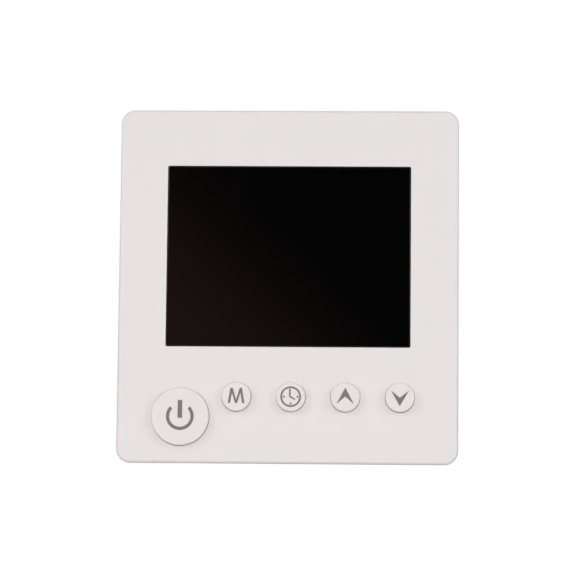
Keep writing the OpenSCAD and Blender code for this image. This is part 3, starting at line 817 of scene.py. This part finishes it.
# openings: head pockets, screw holes with counterbores, hook slots, tab window, lock screw's way in
cut(rear, [rounded("cutter", (x - 0.0056, plate_front_y - 0.0004, -0.0074), (x + 0.0056, 0, 0.0044),
                   0.001, 4) for x in (-fixing_x, fixing_x)])
cut(rear, [rod("cutter", (x, -0.01, z), (x, 0, z), 0.0013, 48) for x, z in screw_places])
cut(rear, [rod("cutter", (x, -0.0042, z), (x, 0, z), 0.0023, 64) for x, z in screw_places])
hook_places = [(side * fixing_x, z) for side in (-1, 1) for z in (0.0168, -0.012)]
cut(rear, [rounded("cutter", (x - 0.0034, -0.01, z - 0.0033), (x + 0.0034, 0, z + 0.00125), 0.0005, 3)
           for x, z in hook_places])
cut(rear, [rounded("cutter", (-0.0052, -0.01, -0.0374), (0.0052, 0, -0.0314), 0.0005, 3)])
cut(rear, [block("cutter", (-0.0027, -0.01, -0.05), (0.0027, 0, -0.035))])

# openings of the box: the terminals at the back, the wires below, vents in both sides, and a sunk panel
mains_low, mains_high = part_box("mains_terminal_block")
sensor_low, sensor_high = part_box("sensor_terminal_block")
block_play = 0.0003
past_case_y = 0.03
cut(rear, [rounded("cutter", (mains_low.x - block_play, bottom_y - 0.005, mains_low.z - block_play),
                   (sensor_high.x + block_play, past_case_y, mains_high.z + block_play), 0.0006, 3)])
cut(rear, [rounded("cutter", (low.x + 0.0006, 0.016, -0.03), (high.x - 0.0006, 0.0242, -0.0224),
                   0.0006, 3, axis=2) for low, high in ((mains_low, mains_high), (sensor_low, sensor_high))])
side_vents = []
for x in (-case_half_x, case_half_x):
    for i in range(5):
        z = 0.004 + vent_pitch * i
        side_vents.append(rounded("cutter", (x - 0.003, 0.003, z - vent_half_w),
                                  (x + 0.003, 0.010, z + vent_half_w), 0.0006, 4, axis=0))
cut(rear, side_vents)
cut(rear, [rounded("cutter", (-0.0165, bottom_y - 0.00025, -0.0075), (0.0165, past_case_y, 0.0195),
                   0.0015, 5)])
smooth(rear, 0.0001)


def moulded(name, dark, light, roughness=0.4, grain_size=0.0003, grain_depth=8e-6, blotch=0.012):
    """A moulded plastic with a grain, faint blotches in its colour, and a gloss that varies a little."""
    finish = Finish(name, {"IOR": 1.5})
    colour = finish.tint(finish.noise(blotch, 3), dark + (1,), light + (1,))
    grain = finish.noise(grain_size, 3)
    gloss = roughness - 0.06 + 0.12 * finish.noise(blotch / 2, 3) + 0.04 * grain
    finish.surface(colour, gloss, finish.bumps(grain, grain_depth, 0.6))
    return finish


grained_abs = moulded("grained off-white ABS", (0.7, 0.688, 0.655), (0.735, 0.725, 0.7), 0.52, 4e-4, 2e-5)
dress(rear, grained_abs, "housing")
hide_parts("rear_cover")


# Wall plate. Steel sheet 1.2 mm thick, stamped, bent and zinc-plated: an opening round the box, a slot for
# each wall screw, four hooks bent forward on which the housing hangs, and a tab for the lock screw.
sheet_t = 0.0012
plate_low, plate_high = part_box("wall_plate")
plate = rounded("wall_plate_sheet", (plate_low.x, -sheet_t, plate_low.z), (plate_high.x, 0, plate_high.z),
                0.003, 8)
cut(plate, [rounded("cutter", (-0.0242, -0.01, -0.0254), (0.0242, 0.01, 0.0284), 0.002, 6)])
slot_half_w = 0.0022
slot_half_l = 0.0037
cut(plate, [rounded("cutter", (x - slot_half_l, -0.01, -slot_half_w), (x + slot_half_l, 0.01, slot_half_w),
                    slot_half_w - 1e-5, 16) for x in (-fixing_x, fixing_x)])
cut(plate, [block("cutter", (x - 0.0032, -0.01, z - 0.0052), (x + 0.0032, 0.01, z)) for x, z in hook_places])

lip_back_y = plate_front_y - 0.0001
lip_front_y = lip_back_y - sheet_t
hook_half = 0.003
for x, z in hook_places:
    tongue = block("tongue", (x - hook_half, lip_front_y, z), (x + hook_half, -0.0006, z + sheet_t))
    lip = block("lip", (x - hook_half, lip_front_y, z + 0.0003),
                (x + hook_half, lip_back_y, z + sheet_t + 0.0024))
    round_edges(lip, lambda e: along(e, 1) and middle(e).z > z + sheet_t, 0.0009, 4)
    weld(tongue, [lip])
    round_edges(tongue, lambda e: along(e, 0) and level(e, lip_front_y) and middle(e).z < z + 1e-5,
                0.0009, 5)
    weld(plate, [tongue])
    cut(plate, [block("cutter", (x - hook_half - 0.0001, -0.0007, z - 0.001),
                      (x + hook_half + 0.0001, 0.001, z + 0.0001))])
tab_half = 0.0045
tab = block("tab", (-tab_half, -0.005, plate_low.z), (tab_half, -0.0006, plate_low.z + sheet_t))
round_edges(tab, lambda e: along(e, 2) and middle(e).y < -0.004, 0.0012, 5)
weld(plate, [tab])
cut(plate, [rod("cutter", (0, lock_y, -0.04), (0, lock_y, -0.03), 0.00105, 48)])
smooth(plate, 0.00012)


def metal(name, dark, light, roughness, spread=0.12, scratch=2e-6, patch=0.004):
    """A bare or plated metal: cloudy in colour and gloss, with fine scratches that run along X."""
    finish = Finish(name, {"Metallic": 1.0})
    colour = finish.tint(finish.noise(patch, 4), dark + (1,), light + (1,))
    lines = finish.noise(0.0001, 2, finish.stretched((0.04, 1, 1)))
    gloss = roughness - spread / 2 + spread * finish.noise(patch / 3, 4) + 0.06 * lines
    finish.surface(colour, gloss, finish.bumps(lines, scratch, 0.5))
    return finish


zinc = metal("zinc-plated steel sheet", (0.5, 0.52, 0.55), (0.66, 0.67, 0.68), 0.42, 0.14, 4e-6, 0.006)
crystals = zinc.add("ShaderNodeTexVoronoi", {}, {"Vector": zinc.place(), "Scale": 420}, output="Color")
crystals = zinc.add("ShaderNodeSeparateColor", {}, {0: crystals})
plating = zinc.tint(zinc.noise(0.006, 4), (0.50, 0.52, 0.55, 1), (0.64, 0.65, 0.67, 1))
spangle = zinc.add("ShaderNodeMix", {"data_type": "RGBA", "blend_type": "MULTIPLY"},
                   {0: 0.12, 6: plating, 7: crystals}, output=2)
zinc.join("Base Color", spangle)
dress(plate, zinc, "wall_plate")
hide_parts("wall_plate")


# Screws. The lock screw under the bottom edge, four case screws from behind and two for the power board:
# pan heads with a cross recess, and rolled threads. Each is turned along Y and then set in its place.
def pan_head_screw(name, radius, head_radius, head_height, length, pitch, into_plastic=True):
    """A screw along Y whose head is seated at Y = 0 and whose shank runs to Y = length."""
    dome = [(head_radius * math.sin(a), -head_height * (0.35 + 0.65 * math.cos(a))) for a in
            (math.radians(d) for d in (12, 28, 44, 60, 76, 90))]
    steps = dome + [(head_radius, -head_height * 0.08), (head_radius * 0.97, 0), (radius, 0)]
    turns = (length - pitch) / pitch
    count = int(turns * 8)
    steps += [(radius, pitch * 0.3 + (length - pitch * 0.8) * i / count) for i in range(count + 1)]
    steps.append((radius * 0.45, length))
    piece = turned(name, 0, 0, steps, 32)
    crest, root = radius, radius * (0.74 if into_plastic else 0.82)
    for vertex in piece.data.vertices:
        x, y, z = vertex.co
        if pitch * 0.25 < y < length - 1e-6 and math.hypot(x, z) > radius * 0.9:
            phase = (y / pitch - math.atan2(z, x) / (2 * math.pi)) % 1
            ridge = max(0.0, 1 - abs(phase - 0.5) * (3.2 if into_plastic else 2.2))
            fade_out = min(1, (y - pitch * 0.25) / pitch, (length - y) / pitch + 0.25)
            scale = (root + (crest - root) * ridge * fade_out) / radius
            vertex.co = (x * scale, y, z * scale)
    arm, half_bar = 0.62 * head_radius, 0.15 * head_radius
    past_head_y, recess_y = -head_height * 2, -head_height * 0.42
    recess = block("cutter", (-arm, past_head_y, -half_bar), (arm, recess_y, half_bar))
    weld(recess, [block("bar", (-half_bar, past_head_y, -arm), (half_bar, recess_y, arm))])
    cut(piece, [recess])
    return piece


def set_in(piece, place, turn=(0, 0, 0)):
    """Turns a piece that was made at the origin and moves it to its place."""
    piece.rotation_euler = turn
    piece.location = place
    only(piece)
    bpy.ops.object.transform_apply()
    return piece


def copied(piece, name):
    """A copy of a piece that has its own mesh."""
    only(piece)
    bpy.ops.object.duplicate(linked=False)
    twin = bpy.context.object
    twin.name = name
    twin.data.name = name
    return twin


shank_r = 0.001
lock_bolt = pan_head_screw(
    "lock_screw_bolt", shank_r, lock_head, lock_head_height, lock_high.z - lock_seat_z, 0.0004,
    into_plastic=False,
)
set_in(lock_bolt, (0, lock_y, lock_seat_z), (math.pi / 2, 0, 0))
nickel = metal("nickel-plated steel", (0.5, 0.49, 0.46), (0.62, 0.6, 0.57), 0.26, 0.1, 2e-6, 0.001)
dress(smooth(lock_bolt), nickel, "lock_screw")
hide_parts("lock_screw")

bright_zinc = metal("zinc-plated screw steel", (0.54, 0.55, 0.56), (0.68, 0.69, 0.69), 0.28, 0.12, 2e-6,
                    0.001)
case_head_height = 0.0016
case_seat_y = screw_high.y - case_head_height
screw_pitch = 0.0006


def screw_set(screw, places, seat_y, turn, name, node):
    """Sets a copy of the screw in each place, and joins them."""
    bolts = [set_in(copied(screw, name), (x, seat_y, z), turn) for x, z in places]
    bpy.data.objects.remove(screw)
    bolts = joined(bolts)
    bolts.name = name
    dress(smooth(bolts), bright_zinc, "housing")
    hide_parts(node)


case_screw = pan_head_screw(
    "case_screw", shank_r, screw_head, case_head_height, case_seat_y - screw_low.y, screw_pitch
)
screw_set(case_screw, screw_places, case_seat_y, (0, 0, math.pi), "case_screw_set", "case_screws")

power_board_front_y = 0.0124
board_screw = pan_head_screw("board_screw", shank_r, screw_head, 0.0014, 0.007, screw_pitch)
screw_set(board_screw, power_screw_places, power_board_front_y, (0, 0, 0), "power_board_screw_set",
          "power_board_screws")


# Terminals. Six poles of green polyamide on the power board: wires enter from below, and slotted screws,
# reached from behind, pull a brass cage up against each wire. The mains poles are the wider ones.
bodies = frame["record"]["behaviour"]["bodies"]
body_of = {node: body for body, nodes in bodies.items() for node in nodes}


def refined(node, name, finish, edge):
    """A piece made from a node's own shape: its flats are made whole and its sharp edges are broken."""
    piece = bpy.data.objects.new(name, frame["nodes"][node].data.copy())
    piece.data.name = name
    bpy.context.collection.objects.link(piece)
    edit(piece)
    bpy.ops.mesh.remove_doubles(threshold=1e-6)
    bpy.ops.mesh.dissolve_limited(angle_limit=math.radians(0.5))
    leave_edit()
    smooth(piece, edge)
    dress(piece, finish, body_of[node])
    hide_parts(node)
    return piece


polyamide = moulded("green polyamide", (0.035, 0.175, 0.075), (0.055, 0.235, 0.105), 0.45, 2e-4, 6e-6)
brass = metal("nickel-plated brass", (0.62, 0.5, 0.26), (0.76, 0.64, 0.38), 0.26, 0.14, 2e-6, 0.002)


def pole_grooves(piece, low, high, poles):
    """Cuts the moulded grooves that part the poles, and a low shelf along their rear face."""
    groove = 0.0003
    for i in range(1, poles):
        x = low.x + (high.x - low.x) * i / poles
        cut(piece, [block("cutter", (x - groove / 2, high.y - groove, low.z - 0.001),
                          (x + groove / 2, past_case_y, high.z + 0.001))])
    cut(piece, [block("cutter", (low.x - 0.001, high.y - 0.0004, low.z - 0.001),
                      (high.x + 0.001, past_case_y, low.z + 0.0011))])
    smooth(piece)


pole_grooves(refined("mains_terminal_block", "mains_terminals", polyamide, 0.00018), mains_low, mains_high, 4)
pole_grooves(refined("sensor_terminal_block", "sensor_terminals", polyamide, 0.00014), sensor_low,
             sensor_high, 2)
refined("wire_clamps", "wire_cages", brass, 8e-5)
refined("terminal_screws", "terminal_screw_set", bright_zinc, 8e-5)


# Power board. Glass-fibre board under green solder resist, with the mains side's parts: relay, transformer,
# capacitors, fuse, surge varistor and four diodes. The resist shows the tracks beneath as a lighter green.
def solder_resist(name, track_scale):
    """Green resist over copper: square islands and tracks a shade lighter and a hair proud, with vias."""
    finish = Finish(name, {"IOR": 1.52, "Coat Weight": 0.3, "Coat Roughness": 0.12})
    flat_place = finish.add("ShaderNodeMapping", {},
                            {"Vector": finish.place(), "Rotation": (math.pi / 2, 0, 0)})
    islands = {"Vector": flat_place, "Scale": track_scale, "Mortar Size": 0.04, "Brick Width": 0.9,
               "Row Height": 0.35, "Color1": (1, 1, 1, 1), "Color2": (0.2, 0.2, 0.2, 1),
               "Mortar": (0, 0, 0, 1)}
    copper = finish.add("ShaderNodeTexBrick", {"offset": 0.37, "squash": 1.6}, islands)
    copper = finish.add("ShaderNodeSeparateColor", {}, {0: copper})
    tracks = finish.add("ShaderNodeTexWave", {"bands_direction": "DIAGONAL"},
                        {"Vector": flat_place, "Scale": track_scale * 1.4, "Distortion": 0.0})
    tracks = finish.between(tracks, 0.62, 0.70) * (1 - finish.between(copper, 0.3, 0.6))
    raised = finish.add("ShaderNodeMath", {"operation": "MAXIMUM"}, {0: copper, 1: tracks})
    vias = finish.specks(0.003, 0.0004, 0.35)
    resist = finish.tint(raised, (0.012, 0.110, 0.040, 1), (0.030, 0.190, 0.070, 1))
    resist = finish.tint(vias, resist, (0.55, 0.52, 0.44, 1))
    finish.surface(resist, 0.24 + 0.12 * finish.noise(0.002, 3), finish.bumps(raised, 3e-5, 0.6))
    return finish


power_resist = solder_resist("green resist of the power board", 120)
refined("power_board", "power_board_sheet", power_resist, 8e-5)

relay_plastic = moulded("blue-black relay case", (0.012, 0.03, 0.105), (0.022, 0.05, 0.15), 0.3, 3e-4, 3e-6)
refined("relay", "relay_case", relay_plastic, 0.0004)

ferrite = moulded("grey ferrite", (0.05, 0.05, 0.054), (0.095, 0.094, 0.098), 0.55, 5e-4, 2e-5, 0.002)
refined("transformer_core", "transformer_ferrite", ferrite, 0.0002)

tape = Finish("yellow polyester tape", {"IOR": 1.6, "Coat Weight": 0.5, "Coat Roughness": 0.15})
turns = tape.add("ShaderNodeTexWave", {"bands_direction": "Y"},
                 {"Vector": tape.place(), "Scale": 330, "Distortion": 0.6})
tape_tint = tape.tint(turns, (0.62, 0.40, 0.035, 1), (0.80, 0.58, 0.080, 1))
tape.surface(tape_tint, 0.22 + 0.16 * turns, tape.bumps(turns, 6e-5, 0.5))
refined("transformer_coil", "transformer_winding", tape, 0.00025)


def capped(name, dark, light, cap, roughness):
    """A shrunk sleeve whose flat end, which faces the room, is bare aluminium inside the sleeve's rim."""
    finish = Finish(name, {"IOR": 1.5})
    normal = finish.add("ShaderNodeNewGeometry", {}, {}, output="Normal")
    facing = finish.add("ShaderNodeSeparateXYZ", {}, {0: normal}, output="Y")
    end = finish.between(0 - facing, 0.97, 0.99)
    sleeve = finish.tint(finish.noise(0.003, 3), dark + (1,), light + (1,))
    gloss = roughness + 0.08 * finish.noise(0.001, 3)
    finish.surface(finish.tint(end, sleeve, cap), gloss, finish.bumps(finish.noise(0.0006, 2), 8e-6, 0.4))
    finish.join("Metallic", end)
    return finish


sleeve = capped("dark blue capacitor sleeve", (0.012, 0.018, 0.070), (0.022, 0.030, 0.105),
                (0.62, 0.62, 0.63, 1), 0.26)
refined("electrolytic_capacitors", "electrolytic_cans", sleeve, 0.0)
film_plastic = moulded("yellow film capacitor case", (0.58, 0.39, 0.045), (0.68, 0.49, 0.075), 0.34, 0.0004,
                       4e-6)
refined("film_capacitor", "film_capacitor_case", film_plastic, 0.0003)
fuse_plastic = moulded("brown fuse case", (0.09, 0.042, 0.024), (0.135, 0.066, 0.04), 0.38, 3e-4, 6e-6)
refined("fuse", "fuse_case", fuse_plastic, 0.0)
varistor_coat = moulded("blue dipped resin", (0.02, 0.07, 0.3), (0.04, 0.11, 0.39), 0.42, 8e-4, 4e-5, 0.002)
refined("surge_varistor", "varistor_disc", varistor_coat, 0.0005)

# the diodes' bodies are black, each with a pale band at its cathode end
diode_resin = Finish("black diode resin", {"IOR": 1.5})
along_z = diode_resin.add("ShaderNodeSeparateXYZ", {}, {0: diode_resin.place()}, output="Z")
cathode_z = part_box("rectifier_diodes")[1].z - 0.0012
band = diode_resin.between(along_z, cathode_z, cathode_z + 0.0001)
band = band * (1 - diode_resin.between(along_z, cathode_z + 0.0006, cathode_z + 0.0007))
diode_tint = diode_resin.tint(band, (0.014, 0.014, 0.015, 1), (0.58, 0.58, 0.57, 1))
diode_bumps = diode_resin.bumps(diode_resin.noise(0.0002, 3), 6e-6, 0.5)
diode_resin.surface(diode_tint, 0.34 + 0.12 * diode_resin.noise(0.001, 3), diode_bumps)
refined("rectifier_diodes", "diode_set", diode_resin, 0.0002)


# Control board. The second board, behind the display and the keys, with the controller, its clock crystal,
# the cell that keeps the time, small resistors and capacitors, and the pins down to the power board.
control_resist = solder_resist("green resist of the control board", 150)
refined("control_board", "control_board_sheet", control_resist, 6e-5)

black_resin = moulded("black moulded resin", (0.011, 0.011, 0.012), (0.021, 0.021, 0.022), 0.46, 2e-4, 8e-6)
tin = metal("tinned copper", (0.6, 0.6, 0.57), (0.74, 0.73, 0.71), 0.22, 0.12, 1e-6, 0.0015)
spring = metal("stainless spring steel", (0.52, 0.5, 0.46), (0.66, 0.64, 0.58), 0.24, 0.12, 2e-6, 0.002)
can_steel = metal("brushed can steel", (0.54, 0.54, 0.53), (0.66, 0.66, 0.64), 0.3, 0.12, 3e-6, 0.003)
gold = metal("gold-plated contact", (0.72, 0.5, 0.17), (0.86, 0.64, 0.27), 0.2, 0.1, 1e-6, 0.0015)
refined("controller_chip", "controller_chip_case", black_resin, 0.0001)
refined("chip_leads", "controller_chip_leads", tin, 4e-5)
refined("clock_crystal", "clock_crystal_can", can_steel, 0.0002)
refined("backup_cell", "backup_cell_can", can_steel, 0.00015)
refined("cell_clip", "cell_clip_spring", spring, 6e-5)

# the small resistors and capacitors are brown glazed ceramic with pale specks of tin
glaze = Finish("glazed ceramic", {"IOR": 1.55, "Coat Weight": 0.4})
glaze_spots = glaze.specks(0.0008, 0.0003, 0.4)
glaze_body = glaze.tint(glaze.noise(0.0015, 3), (0.24, 0.15, 0.085, 1), (0.40, 0.28, 0.175, 1))
glaze_tint = glaze.tint(glaze_spots, glaze_body, (0.62, 0.60, 0.55, 1))
glaze_bumps = glaze.bumps(glaze.noise(0.0002, 3), 6e-6, 0.5)
glaze.surface(glaze_tint, 0.30 + 0.18 * glaze.noise(0.0006, 3), glaze_bumps)
refined("board_smd_parts", "small_board_parts", glaze, 8e-5)

bead = moulded("dipped sensor resin", (0.012, 0.01, 0.009), (0.028, 0.022, 0.018), 0.24, 4e-4, 1e-5, 0.001)
refined("room_sensor", "room_sensor_bead", bead, 0.0)
refined("pin_header", "pin_header_strip", black_resin, 0.0001)
refined("board_socket", "board_socket_body", black_resin, 0.00012)
refined("header_pins", "header_pin_row", gold, 8e-5)


# Key switches. Under each key a tact switch: a black base, a steel plate staked on it, a snap dome inside,
# four tinned legs through the board, and a round black plunger that the key's stem presses.
refined("switch_bases", "switch_base_set", black_resin, 0.00012)
refined("switch_plates", "switch_plate_set", spring, 6e-5)
refined("switch_domes", "switch_dome_set", gold, 0.0)
refined("switch_legs", "switch_leg_set", tin, 3e-5)
plunger_resin = moulded("black plunger nylon", (0.016, 0.016, 0.017), (0.03, 0.03, 0.031), 0.38, 1e-4, 4e-6)
for key in KEYS:
    refined(key + "_plunger", key + "_switch_plunger", plunger_resin, 0.00012)


# Display. A glass cell with a film on either side, lit from behind by an acrylic guide over a white film,
# in a white frame that is pegged to the board. Foam seals it to the window, which tape holds to the cover.
def clear(name, colour, roughness, ior):
    """Clear glass or acrylic, faintly tinted, with a trace of smear in its gloss."""
    finish = Finish(name, {"IOR": ior, "Transmission Weight": 1.0})
    shade = tuple(0.96 * c for c in colour) + (1,)
    tint = finish.tint(finish.noise(0.01, 3), colour + (1,), shade)
    finish.surface(tint, roughness + 0.03 * finish.noise(0.004, 4))
    return finish


cell_glass = clear("display glass", (0.86, 0.93, 0.9), 0.02, 1.52)
refined("lcd_glass", "display_cell", cell_glass, 8e-5)
film = moulded("polariser film", (0.06, 0.066, 0.066), (0.082, 0.09, 0.088), 0.16, 5e-4, 1e-6, 0.006)
refined("lcd_polarisers", "display_films", film, 4e-5)
guide = clear("light guide acrylic", (0.88, 0.95, 0.98), 0.04, 1.49)
refined("light_guide", "backlight_guide", guide, 0.00015)
white_film = moulded("white reflecting film", (0.84, 0.84, 0.82), (0.9, 0.9, 0.88), 0.4, 4e-4, 4e-6, 0.006)
refined("light_reflector", "backlight_film", white_film, 4e-5)
lamp_resin = moulded("yellow lamp resin", (0.78, 0.66, 0.2), (0.88, 0.8, 0.38), 0.28, 3e-4, 6e-6, 0.001)
refined("backlight_leds", "backlight_lamps", lamp_resin, 0.00012)
frame_plastic = moulded("white frame plastic", (0.78, 0.78, 0.76), (0.84, 0.84, 0.82), 0.44, 3e-4, 1e-5)
refined("lcd_frame", "display_frame", frame_plastic, 0.00012)
refined("lcd_pins", "display_pins", tin, 0.0)
foam = moulded("closed-cell foam", (0.02, 0.02, 0.021), (0.038, 0.038, 0.039), 0.85, 3e-4, 6e-5, 0.002)
refined("dust_seal", "window_foam_seal", foam, 0.0001)
tape_black = moulded("black adhesive tape", (0.035, 0.035, 0.036), (0.055, 0.055, 0.056), 0.70, 0.0002,
                     1e-5, 0.003)
refined("window_tape", "window_tape_ring", tape_black, 2e-5)
